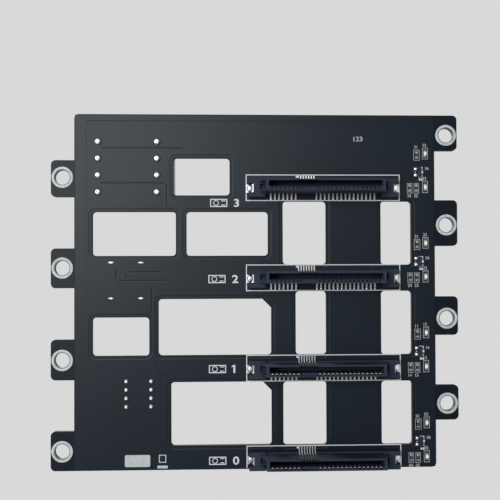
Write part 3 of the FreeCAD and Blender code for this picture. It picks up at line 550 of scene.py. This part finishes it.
PLANE_GAPS = [gap_line(*ends_and_width) for ends_and_width in (
    (-46.4, 43.6, -22.4, 43.6, 0.18), (-46.6, 32.9, -27.7, 32.9, 0.18),
    (-26.9, 25.8, -26.9, 32.4, 0.18), (-42.1, 3.9, -42.1, 6.2, 0.4),
    (-39.1, 3.9, -39.1, 5.2, 0.3), (-41.4, 3.2, -27.6, 3.2, 0.2),
    (-38.4, 5.8, -29.1, 5.8, 0.2), (-31.5, -6.1, -31.5, 1.0, 0.2),
    (-30.8, -21.5, -28.0, -25.9, 0.2),
)]
print(len(PLANE_GAPS), "gaps")

# %% [markdown]
# Where copper lies under the mask, the board looks a shade lighter, so the screw tabs, which have
# none, are the darkest part. The plane starts further in than the copper below it. A painted line
# would vanish from the side; sheets raised by a few hundredths of a millimetre show as they do on
# a real board, as faint steps in the reflection. For each sheet three lengths are written: how
# thick it is, how wide its sloping rim is, and how far it stays clear of a window.

# %% Copper and plane on both faces
BODY_RIGHT = 54.85
BOARD_BOTTOM = board_low.z
COPPER, COPPER_SLOPE, COPPER_CLEAR = 0.04, 0.05, 0.3
PLANE, PLANE_SLOPE, PLANE_CLEAR = 0.05, 0.22, 0.9
EDGE_CLEAR = 0.2
MASK_TOP = COPPER + PLANE


def box_corners(x0, x1, z0, z1):
    """The four corners of an upright box, as an outline."""
    return [Vector(p) for p in ((x0, z0), (x1, z0), (x1, z1), (x0, z1))]


body_outline = box_corners(-BODY_RIGHT + EDGE_CLEAR, BODY_RIGHT - EDGE_CLEAR,
                           BOARD_BOTTOM + EDGE_CLEAR, -BOARD_BOTTOM - EDGE_CLEAR)
plane_outline = box_corners(-51.4, 52.6, BOARD_BOTTOM + 1.2, 51.9)
for name, face, sign in (("front", FRONT, -1), ("rear", REAR, 1)):
    copper, plane = bmesh.new(), bmesh.new()
    raise_sheet(copper, [body_outline] + [widen(w, COPPER_CLEAR) for w in windows],
                face, face + sign * COPPER, COPPER_SLOPE)
    raise_sheet(plane, [plane_outline] + [widen(w, PLANE_CLEAR) for w in windows] + PLANE_GAPS,
                face + sign * COPPER, face + sign * MASK_TOP, PLANE_SLOPE)
    make_piece(f"{name}_copper", copper, copper_mask)
    make_piece(f"{name}_power_plane", plane, copper_mask)
print("the mask's top lies", MASK_TOP, "mm above the laminate")

# %% [markdown]
# Each screw hole has a bare tinned ring on both faces, where the screw's head earths the board. It
# is a washer-shaped plate with rounded shoulders, and a darker line runs between the ring and the
# plated barrel. A cylinder with a hole would have sharp shoulders, so a profile is turned round
# the hole's axis instead, as on a lathe. The same turning will serve for solder.

# %% Screw lands
def turn_profile(drawing, centre, radii, base, rise, profile, steps):
    """Turns (radius, height) points round an axis along Y, stretched to two radii and a rise."""
    rows = []
    for step in range(steps):
        angle = math.tau * step / steps
        rows.append([
            drawing.verts.new((centre.x + radii.x * r * math.cos(angle), base + rise * h,
                               centre.y + radii.y * r * math.sin(angle)))
            for r, h in profile
        ])
    for n in range(steps):
        here, there = rows[n], rows[(n + 1) % steps]
        for k in range(len(profile) - 1):
            drawing.faces.new((here[k], here[k + 1], there[k + 1], there[k]))


LAND = [(2.48, 0.0), (2.48, 0.07), (2.56, 0.11), (3.10, 0.11), (3.19, 0.08), (3.22, 0.0)]
COLLAR = [(2.24, 0.0), (2.24, 0.05), (2.32, 0.06), (2.48, 0.05)]
AS_DRAWN = Vector((1.0, 1.0))
lands, collars = bmesh.new(), bmesh.new()
for hole in screw_holes:
    for base, sign in ((FRONT, -1), (REAR, 1)):
        turn_profile(lands, hole, AS_DRAWN, base, sign, LAND, 48)
        turn_profile(collars, hole, AS_DRAWN, base, sign, COLLAR, 48)
land_tin = finish("land_tin", (0.53, 0.57, 0.58), 0.90, metal=1.0, patch=900.0, tooth=3000.0)
# The collar's tin is darker than the land's, for the dark line at the hole's edge.
darker_collar_tin = finish("darker_collar_tin", (0.22, 0.23, 0.235), 0.85, metal=1.0, tooth=3000.0)
make_piece("screw_lands", lands, land_tin, smooth=True)
make_piece("screw_hole_collars", collars, darker_collar_tin, smooth=True)

# %% [markdown]
# Moulded plastic never has a knife edge. Rounding the CAD solids would multiply their faces, so it
# is done here: a copy of each moulding gets its doubled corners merged, its flat faces joined, and
# a narrow bevel on every sharp edge. The bevel is only 0.05 to 0.12 mm wide, but it is what
# catches the light along each rim.

# %% Softened edges
def soften(node_name, name, width):
    """A copy of a CAD node with narrow bevels, which stands for that node."""
    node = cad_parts[node_name]
    drawing = bmesh.new()
    drawing.from_mesh(node.data)
    bmesh.ops.remove_doubles(drawing, verts=drawing.verts, dist=0.001 * MM)
    bmesh.ops.dissolve_limit(drawing, angle_limit=math.radians(1.0), verts=drawing.verts,
                             edges=drawing.edges)
    bmesh.ops.scale(drawing, vec=(1 / MM, 1 / MM, 1 / MM), verts=drawing.verts)
    slot = slot_of(node_name)
    piece = make_piece(name, drawing, FINISHES[slot])
    bevel = piece.modifiers.new("soft_edges", "BEVEL")
    bevel.width = width * MM
    bevel.segments = 2
    bevel.limit_method = "ANGLE"
    bevel.angle_limit = math.radians(35)
    bevel.use_clamp_overlap = True
    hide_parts(node_name)
    return piece


FINE_EDGE = 0.05
BROAD_EDGE = 0.12
print("bevels of", FINE_EDGE, "mm on sockets and", BROAD_EDGE, "mm on headers")

# %% [markdown]
# The four drive sockets come first, then the headers behind, whose walls are thicker and whose
# edges are rounder. The sockets' upper sides gather less of the room's light than their fronts.
# Another lamp could be tried for that, but it would change all the rest too. So the faces that
# look up get a darker plastic instead, which is painted shade.

# %% Mouldings of the sockets and headers
roof_plastic_painted_shade = finish("roof_plastic_painted_shade", (0.008, 0.011, 0.021), 0.75, gloss=0.08, tooth=5000.0,
                      relief=0.3)
for bay in BAYS:
    moulding = soften(f"bay_{bay}_socket_housing", f"bay_{bay}_socket_moulding", FINE_EDGE).data
    moulding.materials.append(roof_plastic_painted_shade)
    for face in moulding.polygons:
        # Faces that look up take the darker plastic: painted shade.
        face.material_index = int(face.normal.z > 0.7)
for side in ("left", "right"):
    soften(f"power_header_{side}", f"power_header_{side}_moulding", BROAD_EDGE)
    soften(f"fan_header_{side}", f"fan_header_{side}_moulding", BROAD_EDGE)
soften("data_port_insulator", "data_port_moulding", FINE_EDGE)

# %% [markdown]
# Solder wets a pad and climbs the pin, so a joint is a small hill with a hollow flank and a shiny
# crown. The CAD joints mark where each one is and how high, and several lie in one node. To find
# them one by one, the mesh is walked from corner to corner along its edges, and each connected
# part gives a box.

# %% Boxes of separate solids
def islands(node_name):
    """Boxes, in millimetres, of the separate solids in a CAD node."""
    drawing = bmesh.new()
    drawing.from_mesh(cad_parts[node_name].data)
    bmesh.ops.remove_doubles(drawing, verts=drawing.verts, dist=0.001 * MM)
    left, boxes = set(drawing.verts), []
    while left:
        queue = [left.pop()]
        low, high = queue[0].co.copy(), queue[0].co.copy()
        while queue:
            at = queue.pop()
            for axis in range(3):
                low[axis] = min(low[axis], at.co[axis])
                high[axis] = max(high[axis], at.co[axis])
            for edge in at.link_edges:
                other = edge.other_vert(at)
                if other in left:
                    left.discard(other)
                    queue.append(other)
        boxes.append((low / MM, high / MM))
    drawing.free()
    return sorted(boxes, key=lambda box: tuple(round(c, 2) for c in box[0]))


print("joints of the left power header:", len(islands("power_solder_left")))

# %% [markdown]
# A ball pressed flat would give a drop, not a joint: its flank bulges where real solder is hollow.
# So a profile with a hollow flank is turned over each box and stretched to the box's two widths.
# The fan headers' joints are smaller and darker than the rest, and get a finish of their own.

# %% Solder hills over the pins
HILL = [(1.0, 0.0), (0.97, 0.22), (0.91, 0.42), (0.82, 0.60), (0.70, 0.77), (0.56, 0.90),
        (0.44, 0.98), (0.34, 1.0), (0.26, 0.95), (0.14, 0.90), (0.001, 0.89)]


def solder_hill(drawing, low, high, profile=HILL, steps=24):
    """A hill over the box of a joint, stretched to the box's two widths."""
    centre = Vector(((low.x + high.x) / 2, (low.z + high.z) / 2))
    half = Vector(((high.x - low.x) / 2, (high.z - low.z) / 2))
    turn_profile(drawing, centre, half, high.y, low.y - high.y, profile, steps)


fine_solder = finish("fine_solder", (0.20, 0.21, 0.22), 0.14, metal=1.0, tooth=1600.0, relief=1.0,
                     spread=0.04)
for node_name, used in (("power_solder_left", FINISHES["solder"]),
                        ("power_solder_right", FINISHES["solder"]),
                        ("fan_solder_left", fine_solder), ("fan_solder_right", fine_solder),
                        ("data_port_solder", FINISHES["solder"])):
    drawing = bmesh.new()
    for low, high in islands(node_name):
        solder_hill(drawing, low, high)
    hills = make_piece(f"{node_name}_hills", drawing, used, smooth=True)
    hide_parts(node_name)

# %% [markdown]
# Surface-mounted leads end in a foot that is soldered to a bare pad. Each contact foot gets a thin
# tinned pad and a bead of solder at its toe. Their places could be counted off from the spacing of
# the contacts. They are read from the contacts' own boxes instead, so each bead sits where its
# contact does, in the even rows that a machine-soldered board has.

# %% Pads and beads at the contact feet
PAD = MASK_TOP + 0.02
HALF_PAD, HALF_BEAD, TOE_REACH = 0.25, 0.33, 0.2
BEAD = [(1.0, 0.0), (0.95, 0.35), (0.8, 0.65), (0.55, 0.88), (0.28, 0.98), (0.001, 1.0)]


def raise_outline(drawing, corners, low, high):
    """A flat-topped plate over a polygon of (x, z) corners, between two heights in Y."""
    foot = [drawing.verts.new((x, low, z)) for x, z in corners]
    top = [drawing.verts.new((x, high, z)) for x, z in corners]
    drawing.faces.new(top)
    for n in range(len(corners)):
        m = (n + 1) % len(corners)
        drawing.faces.new((foot[n], foot[m], top[m], top[n]))


def raise_strip(drawing, x0, x1, z0, z1, low, high):
    """A flat-topped strip between two places in X and two in Z."""
    raise_outline(drawing, [(x0, z0), (x1, z0), (x1, z1), (x0, z1)], low, high)


pads, beads = bmesh.new(), bmesh.new()
for bay in BAYS:
    for group in ("signal", "power"):
        for low, high in islands(f"bay_{bay}_{group}_contacts"):
            x, toe = (low.x + high.x) / 2, max(low.z, BOARD_BOTTOM + 0.25)
            raise_strip(pads, x - HALF_PAD, x + HALF_PAD, toe - TOE_REACH, toe + 0.7,
                        FRONT, FRONT - PAD)
            solder_hill(beads, Vector((x - HALF_BEAD, FRONT - 0.45, toe - TOE_REACH)),
                        Vector((x + HALF_BEAD, FRONT - 0.05, toe + 0.46)), BEAD, 12)
tin_plating = finish("tin_plating", (0.72, 0.74, 0.75), 0.30, metal=1.0, tooth=3000.0)
bead_solder = finish("bead_solder", (0.76, 0.77, 0.77), 0.30, metal=1.0, tooth=2500.0)
make_piece("socket_pads", pads, tin_plating)
make_piece("socket_solder_beads", beads, bead_solder, smooth=True)

# %% [markdown]
# The hold-down tabs at a socket's two ends take the push of the drive, so each sits in a larger
# pool of solder. The pools could be flat plates, but solder has a round rim, so they use the same
# turned profile as the beads, only fuller. In the photograph the right-hand pools look brighter
# than the left-hand ones, so there are two pieces with a finish each.

# %% Pools at the hold-down tabs
SLOT_X = 20.5
SLOT_Z = [BOARD_BOTTOM + 3.3 + 27.43 * bay for bay in BAYS]
POOL = [(1.0, 0.0), (0.94, 0.34), (0.82, 0.62), (0.64, 0.83), (0.42, 0.95), (0.2, 0.99),
        (0.001, 1.0)]
POOL_HEIGHT = 0.75
POOL_BELOW = 1.9

for name, x0, x1, above, used in (
    ("left_tab_pools", -23.35, -21.4, 0.85,
     finish("dull_pool", (0.42, 0.43, 0.43), 0.42, metal=1.0, tooth=2500.0)),
    ("right_tab_pools", 21.35, 23.3, 1.25,
     finish("bright_pool", (0.84, 0.85, 0.85), 0.45, metal=1.0, tooth=2500.0)),
):
    pools = bmesh.new()
    for slot in SLOT_Z:
        solder_hill(pools, Vector((SLOT_X + x0, FRONT - POOL_HEIGHT, slot - POOL_BELOW)),
                    Vector((SLOT_X + x1, FRONT, slot + above)), POOL, 32)
    make_piece(name, pools, used, smooth=True)
print("slots at", [round(z, 2) for z in SLOT_Z], "mm")

# %% [markdown]
# Chip parts are held by little fillets of solder against their metal ends. Their pads reach out
# from under the ends, away from the middle of the part. Which way that is could be listed for
# every part. Here it follows from the nearest body, so the same lines serve for the resistors and
# for the lights.

# %% Pads and fillets at the chip ends
AROUND_END = 0.04
INSIDE_PAD = 0.03
chip_pads, fillets = bmesh.new(), bmesh.new()
for node_name, body_node, reach in (("resistor_ends", "resistor_bodies", 0.28),
                                    ("status_light_ends", "status_light_lenses", 0.22)):
    bodies = [(low + high) / 2 for low, high in islands(body_node)]
    for low, high in islands(node_name):
        middle = (low + high) / 2
        body = min(bodies, key=lambda place: (place - middle).length)
        x0, x1 = low.x - AROUND_END, high.x + AROUND_END
        z0, z1 = low.z - AROUND_END, high.z + AROUND_END
        z0, z1 = (z0, z1 + reach) if middle.z > body.z else (z0 - reach, z1)
        raise_strip(chip_pads, x0, x1, z0, z1, FRONT, FRONT - PAD)
        solder_hill(fillets, Vector((x0 + INSIDE_PAD, FRONT - 0.26, z0 + INSIDE_PAD)),
                    Vector((x1 - INSIDE_PAD, FRONT - 0.05, z1 - INSIDE_PAD)), BEAD, 16)
dull_solder = finish("dull_solder", (0.28, 0.29, 0.30), 0.5, metal=1.0, tooth=2500.0)
make_piece("chip_pads", chip_pads, dull_solder)
make_piece("chip_solder_fillets", fillets, dull_solder, smooth=True)
for node_name in ("resistor_ends", "status_light_ends"):
    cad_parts[node_name].data.materials[0] = dull_solder

# %% [markdown]
# A transistor stands on three legs, two on its left and one on its right. Each leg lies on a
# nearly square pad, larger than the leg, under a low and bright layer of solder. Low hills keep
# the squares pale, because a steep flank would mirror the dark board.

# %% Pads and solder of the transistors
LEG_PAD = 0.8
leg_pads, leg_solder = bmesh.new(), bmesh.new()
for low, high in islands("transistor_legs"):
    middle = (low.z + high.z) / 2
    x0 = high.x - 0.65 if low.x > BODY_RIGHT - 4.9 else low.x - 0.15
    raise_strip(leg_pads, x0, x0 + LEG_PAD, middle - LEG_PAD / 2, middle + LEG_PAD / 2,
                FRONT, FRONT - PAD)
    solder_hill(leg_solder, Vector((x0 + 0.02, FRONT - 0.26, middle - 0.38)),
                Vector((x0 + 0.78, FRONT - 0.05, middle + 0.38)), BEAD, 16)
make_piece("transistor_pads", leg_pads, bead_solder)
make_piece("transistor_solder", leg_solder, bead_solder, smooth=True)
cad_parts["transistor_legs"].data.materials[0] = bead_solder

# %% [markdown]
# Print is a thin layer of pale ink on the mask. A painted image would blur as soon as one looks
# closer, so the line work is made of real strips with sharp edges. Fine lines look greyer than
# broad ones from where the camera stands, as they do in life, so there are two inks.

# %% Strips and frames of ink
INK_HEIGHT = MASK_TOP + 0.02


def ink_finish(name, colour, shift=0.10):
    """A matt, slightly mottled ink."""
    return finish(name, colour, 0.6, shift=shift, patch=1500.0, tooth=6000.0, relief=0.3)


def ink_strip(drawing, x0, x1, z0, z1, face=FRONT):
    """A strip of ink on the front or on the rear."""
    sign = -1 if face == FRONT else 1
    raise_strip(drawing, x0, x1, z0, z1, face, face + sign * INK_HEIGHT)


def ink_frame(drawing, x0, x1, z0, z1, line, sides="blrt", face=FRONT):
    """Strips along the chosen sides of a box: bottom, left, right, top."""
    strips = {
        "b": (x0, x1, z0, z0 + line), "t": (x0, x1, z1 - line, z1),
        "l": (x0, x0 + line, z0 + line, z1 - line), "r": (x1 - line, x1, z0 + line, z1 - line),
    }
    for side in sides:
        ink_strip(drawing, *strips[side], face=face)


ink = ink_finish("print_ink", (0.50, 0.53, 0.56))
thin_ink = ink_finish("thin_ink", (0.30, 0.32, 0.34), shift=0.20)
print("ink stands", round(INK_HEIGHT, 2), "mm above the laminate")

# %% [markdown]
# A printed frame shows where each socket goes, with a small square under its upper line. Beside it
# the transistor has an angle at each of its right corners, a dot for its first leg, and a two-part
# mark. The four bays could be drawn one after the other. All of it is placed from the slot's
# height instead, so that one loop prints them all. The lowest frame runs off the board's edge and
# has no bottom line.

# %% Frames of the sockets and marks of the transistors
front_print = bmesh.new()
for bay, slot in zip(BAYS, SLOT_Z):
    ink_frame(front_print, SLOT_X - 23.6, SLOT_X + 23.6, max(slot - 4.36, BOARD_BOTTOM),
              slot + 3.75, 0.3, "lrt" if bay == 0 else "blrt")
    ink_strip(front_print, SLOT_X - 8.35, SLOT_X - 7.75, slot + 2.75, slot + 3.35)

    x0, x1 = BODY_RIGHT - 5.15, BODY_RIGHT - 3.65
    ink_strip(front_print, x0, x1, slot + 5.85, slot + 6.15)
    ink_strip(front_print, x1 - 0.32, x1, slot + 5.25, slot + 5.85)
    ink_strip(front_print, x0, x1 - 0.2, slot + 2.95, slot + 3.2)
    ink_strip(front_print, x1 - 0.32, x1, slot + 3.2, slot + 3.75)
    ink_strip(front_print, BODY_RIGHT - 6.05, BODY_RIGHT - 5.75, slot + 4.3, slot + 4.6)
    ink_strip(front_print, x0 + 0.3, x0 + 0.8, slot + 1.95, slot + 2.6)
    ink_strip(front_print, x0 + 0.95, x0 + 1.45, slot + 1.95, slot + 2.6)
make_piece("front_print", front_print, ink)

# %% [markdown]
# Each chip lies in a printed outline that shows where it goes, with a bar near its top. Every
# outline could be drawn by lines of its own. Here they are written as distances from the board's
# right edge and from the slot, with the width of their line, so that a chip's place can be changed
# in one row.

# %% Outlines of the chips
CHIP_OUTLINES = (
    (6.45, 4.55, 8.1, 11.4, 0.14), (3.8, 2.0, 8.5, 12.0, 0.16), (3.82, 2.06, -1.85, 1.85, 0.16),
    (8.5, 6.9, -2.0, 1.15, 0.14), (6.4, 4.8, -2.0, 1.15, 0.14),
)
chip_print = bmesh.new()
for slot in SLOT_Z:
    for left, far, bottom, top, line in CHIP_OUTLINES:
        x0, x1 = BODY_RIGHT - left, BODY_RIGHT - far
        ink_frame(chip_print, x0, x1, max(slot + bottom, BOARD_BOTTOM), slot + top, line)
        ink_strip(chip_print, x0 + 0.3, x1 - 0.3, slot + top - 0.40, slot + top - 0.31)
make_piece("chip_print", chip_print, thin_ink)

# %% [markdown]
# Each bay is marked with a plain number. Strips could make it, but its curves would look cut by
# hand. Blender's own font gives better ones: the text is set, turned into a mesh, and copied into
# the drawing at the size that the print needs. Ink spreads a little on the mask, so the strokes
# are thickened.

# %% Numbers in ink
INK_SPREAD = 0.022


def ink_number(drawing, words, x, z, height, stretch=1.0):
    """Adds plain numbers in ink, with their lower left corner at x, z."""
    text = bpy.data.curves.new("numbers", "FONT")
    text.body = words
    text.offset = INK_SPREAD
    holder = bpy.data.objects.new("numbers", text)
    bpy.context.scene.collection.objects.link(holder)
    bpy.context.view_layer.update()
    flat = bpy.data.meshes.new_from_object(holder)
    left = min(v.co.x for v in flat.vertices)
    foot = min(v.co.y for v in flat.vertices)
    scale = height / (max(v.co.y for v in flat.vertices) - foot)
    points = [
        drawing.verts.new((x + (v.co.x - left) * scale * stretch, FRONT - INK_HEIGHT,
                           z + (v.co.y - foot) * scale))
        for v in flat.vertices
    ]
    for polygon in flat.polygons:
        drawing.faces.new([points[i] for i in polygon.vertices])
    bpy.data.objects.remove(holder)
    bpy.data.curves.remove(text)
    bpy.data.meshes.remove(flat)


print("strokes are thickened by", INK_SPREAD, "of the font's size")

# %% [markdown]
# Beside the number stands a small outline of a drive: its case, the ring of its disc, and two
# lines. A ring of ink is a row of short strips round a middle, which is simpler than cutting one
# disc out of another. The "1" gets a flag, so that it doesn't read as a line.

# %% A number and a drive for each bay
def ink_ring(drawing, x, z, radius, line, steps=32):
    """A ring of ink, drawn as a row of short strips round its middle."""
    for step in range(steps):
        corners = []
        for turn_share, r in ((step, radius - line), (step + 1, radius - line),
                              (step + 1, radius), (step, radius)):
            angle = math.tau * turn_share / steps
            corners.append((x + r * math.cos(angle), z + r * math.sin(angle)))
        raise_outline(drawing, corners, FRONT, FRONT - INK_HEIGHT)


LABEL_X = (-14.4, -14.4, -14.5, -13.9)
LABEL_Z = (-51.2, -23.53, 3.72, 26.85)
LABEL_TALL = 2.45
numbers = bmesh.new()
for bay, x, z in zip(BAYS, LABEL_X, LABEL_Z):
    low, high = z - LABEL_TALL / 2, z + LABEL_TALL / 2
    ink_number(numbers, str(bay), x + 7.2 + 0.2 * (bay == 1), low, LABEL_TALL, stretch=1.18)
    if bay == 1:
        raise_outline(numbers, [(x + 6.9, high - 0.8), (x + 7.4, high - 0.45), (x + 7.4, high),
                                (x + 6.9, high - 0.4)], FRONT, FRONT - INK_HEIGHT)
    ink_frame(numbers, x, x + 5.2, low, high, 0.3)
    ink_ring(numbers, x + 1.8, z, 0.85, 0.22)
    ink_strip(numbers, x + 3.4, x + 4.6, z - 0.75, z - 0.5)
    ink_strip(numbers, x + 3.4, x + 4.6, z + 0.5, z + 0.75)
make_piece("printed_numbers", numbers, ink)

# %% [markdown]
# Every chip has a two-figure number: the bay, and the chip's place in it. They are too small to
# read from where the camera stands, but the eye misses them when they aren't there. One more plain
# number stands alone near the top. In the lowest bay, a number that would fall below the board's
# edge is left away.

# %% Numbers of the chips
CHIP_NUMBERS = ((5.5, 11.75), (2.9, 12.3), (2.94, 2.1), (7.7, -3.25), (5.6, -3.25), (2.2, 5.2))
chip_numbers = bmesh.new()
for bay, slot in zip(BAYS, SLOT_Z):
    for place, (inset, foot) in enumerate(CHIP_NUMBERS, start=1):
        if slot + foot > BOARD_BOTTOM:
            ink_number(chip_numbers, f"{bay}{place}", BODY_RIGHT - inset - 0.75, slot + foot, 0.95)
ink_number(chip_numbers, "123", 29.9, 45.7, 1.5, stretch=1.1)
make_piece("chip_numbers", chip_numbers, thin_ink)

# %% [markdown]
# Near the bottom is a light box with round corners, where a date can be written by hand, and next
# to it a small tick box over a bar. The round corners are drawn as quarter circles of a few points
# each, since a bevel on so thin a plate would eat its edge. A large patch of ink looks brighter
# than a line, so it gets a slightly darker ink.

# %% Boxes to write in
CORNER = 0.5
CORNER_STEPS = 6
x0, x1, z0, z1 = -39.7, -32.1, -52.8, -49.2
rounded = []
for cx, cz, start in ((x1 - CORNER, z1 - CORNER, 0), (x0 + CORNER, z1 - CORNER, 90),
                      (x0 + CORNER, z0 + CORNER, 180), (x1 - CORNER, z0 + CORNER, 270)):
    for step in range(CORNER_STEPS + 1):
        angle = math.radians(start + 90 * step / CORNER_STEPS)
        rounded.append((cx + CORNER * math.cos(angle), cz + CORNER * math.sin(angle)))
boxes = bmesh.new()
raise_outline(boxes, rounded, FRONT, FRONT - INK_HEIGHT)
ink_frame(boxes, -29.5, -27.3, -51.6, -49.2, 0.28)
ink_strip(boxes, -29.95, -26.85, -53.3, -52.45)
make_piece("bare_boxes", boxes, ink_finish("box_ink", (0.38, 0.41, 0.42)))

# %% [markdown]
# Behind, each header stands in a printed outline that shows its place, with a small square beside
# one corner that tells which way round it goes. The outlines could be drawn at written places.
# They are read from the headers' own boxes, so they always fit, whatever size the CAD gives them.

# %% Print on the rear
rear_print = bmesh.new()
for node_name in ("power_header_left", "power_header_right", "fan_header_left",
                  "fan_header_right", "data_port_cage"):
    low, high = (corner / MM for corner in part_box(node_name))
    ink_frame(rear_print, low.x - 0.5, high.x + 0.5, low.z - 0.5, high.z + 0.5, 0.2, face=REAR)
    ink_strip(rear_print, high.x + 0.8, high.x + 1.3, high.z - 0.6, high.z - 0.1, face=REAR)
make_piece("rear_print", rear_print, ink)
